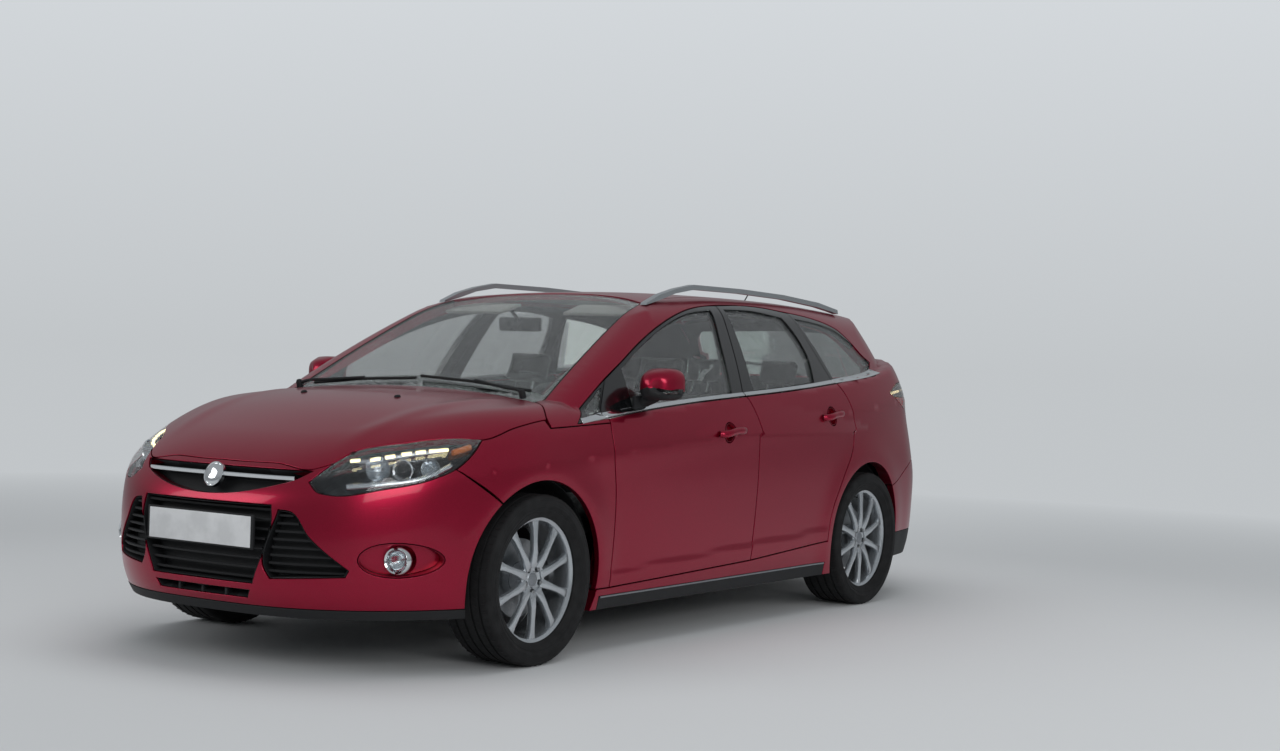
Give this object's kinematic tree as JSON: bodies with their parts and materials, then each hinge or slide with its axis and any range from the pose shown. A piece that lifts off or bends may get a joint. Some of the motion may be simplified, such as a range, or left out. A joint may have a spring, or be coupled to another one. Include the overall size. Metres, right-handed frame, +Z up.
{
  "type": "station wagon",
  "caption": "Compact station wagon with an upright tail, opening doors, bonnet and tailgate, steered front wheels, seats and raised roof rails.",
  "frame": {"origin": "on the ground under the middle of the car", "axes": "+X towards the nose, +Y to the left side, +Z up"},
  "size_m": [4.5464, 1.995, 1.505],
  "materials": {
    "body_paint": "gloss metallic",
    "tyre": "matt",
    "alloy": "bright machined",
    "glass": "clear, green tint",
    "lamp_clear": "clear",
    "lamp_red": "clear red",
    "black_plastic": "grained",
    "seat_fabric": "woven",
    "chassis_iron": "satin",
    "exhaust_steel": "satin",
    "rail_aluminium": "satin anodised",
    "underbody": "satin"
  },
  "bodies": {
    "body": {"floor_pan": "underbody", "body_side_left": "body_paint", "body_side_right": "body_paint", "roof_panel": "body_paint", "front_wings": "body_paint", "front_bumper": "body_paint", "rear_bumper": "body_paint", "grilles": "black_plastic", "headlamps": "lamp_clear", "fog_lamps": "lamp_clear", "tail_lamps": "lamp_red", "windscreen": "glass", "fixed_side_glass": "glass", "roof_rails": "rail_aluminium", "wheel_arch_liners": "black_plastic", "engine_block": "chassis_iron", "front_subframe": "chassis_iron", "rear_axle": "chassis_iron", "exhaust": "exhaust_steel", "fuel_tank": "black_plastic", "dashboard": "black_plastic", "front_seats": "seat_fabric", "rear_bench": "seat_fabric"},
    "steering_wheel": {"steering_wheel": "black_plastic"},
    "knuckle_left": {"knuckle_left": "chassis_iron"},
    "wheel_front_left": {"tyre_front_left": "tyre", "rim_front_left": "alloy"},
    "wheel_rear_left": {"tyre_rear_left": "tyre", "rim_rear_left": "alloy"},
    "door_front_left": {"door_front_left": "body_paint", "door_glass_front_left": "glass", "mirror_left": "body_paint"},
    "door_rear_left": {"door_rear_left": "body_paint", "door_glass_rear_left": "glass"},
    "knuckle_right": {"knuckle_right": "chassis_iron"},
    "wheel_front_right": {"tyre_front_right": "tyre", "rim_front_right": "alloy"},
    "wheel_rear_right": {"tyre_rear_right": "tyre", "rim_rear_right": "alloy"},
    "door_front_right": {"door_front_right": "body_paint", "door_glass_front_right": "glass", "mirror_right": "body_paint"},
    "door_rear_right": {"door_rear_right": "body_paint", "door_glass_rear_right": "glass"},
    "bonnet": {"bonnet": "body_paint"},
    "tailgate": {"tailgate": "body_paint", "tailgate_glass": "glass"}
  },
  "joints": [
    {"name": "steer_left", "type": "hinge", "parent": "body", "child": "knuckle_left", "pos_m": [1.386, 0.755, 0.3225], "axis": [0, 0, 1], "range_deg": [-35, 35]},
    {"name": "steer_right", "type": "hinge", "parent": "body", "child": "knuckle_right", "pos_m": [1.386, -0.755, 0.3225], "axis": [0, 0, 1], "range_deg": [-35, 35]},
    {"name": "wheel_front_left_spin", "type": "hinge", "parent": "knuckle_left", "child": "wheel_front_left", "pos_m": [1.386, 0.78, 0.3225], "axis": [0, 1, 0], "continuous": true},
    {"name": "wheel_rear_left_spin", "type": "hinge", "parent": "body", "child": "wheel_rear_left", "pos_m": [-1.262, 0.78, 0.3225], "axis": [0, 1, 0], "continuous": true},
    {"name": "door_front_left_swing", "type": "hinge", "parent": "body", "child": "door_front_left", "pos_m": [0.953, 0.9135, 0.7], "axis": [0, 0, -1], "range_deg": [0, 65]},
    {"name": "door_rear_left_swing", "type": "hinge", "parent": "body", "child": "door_rear_left", "pos_m": [-0.0745, 0.9135, 0.7], "axis": [0, 0, -1], "range_deg": [0, 68]},
    {"name": "wheel_front_right_spin", "type": "hinge", "parent": "knuckle_right", "child": "wheel_front_right", "pos_m": [1.386, -0.78, 0.3225], "axis": [0, 1, 0], "continuous": true},
    {"name": "wheel_rear_right_spin", "type": "hinge", "parent": "body", "child": "wheel_rear_right", "pos_m": [-1.262, -0.78, 0.3225], "axis": [0, 1, 0], "continuous": true},
    {"name": "door_front_right_swing", "type": "hinge", "parent": "body", "child": "door_front_right", "pos_m": [0.953, -0.9135, 0.7], "axis": [0, 0, 1], "range_deg": [0, 65]},
    {"name": "door_rear_right_swing", "type": "hinge", "parent": "body", "child": "door_rear_right", "pos_m": [-0.0745, -0.9135, 0.7], "axis": [0, 0, 1], "range_deg": [0, 68]},
    {"name": "steering_wheel_turn", "type": "hinge", "parent": "body", "child": "steering_wheel", "pos_m": [0.59, 0.37, 0.885], "axis": [-0.9063, 0, 0.4226], "range_deg": [-460, 460]},
    {"name": "bonnet_lift", "type": "hinge", "parent": "body", "child": "bonnet", "pos_m": [1.16, 0, 1.03], "axis": [0, -1, 0], "range_deg": [0, 60]},
    {"name": "tailgate_lift", "type": "hinge", "parent": "body", "child": "tailgate", "pos_m": [-1.702, 0, 1.436], "axis": [0, 1, 0], "range_deg": [0, 80]}
  ],
  "couplings": [
    {"joint": "steer_right", "follows": "steer_left", "ratio": 1},
    {"joint": "steering_wheel_turn", "follows": "steer_left", "ratio": 13}
  ]
}
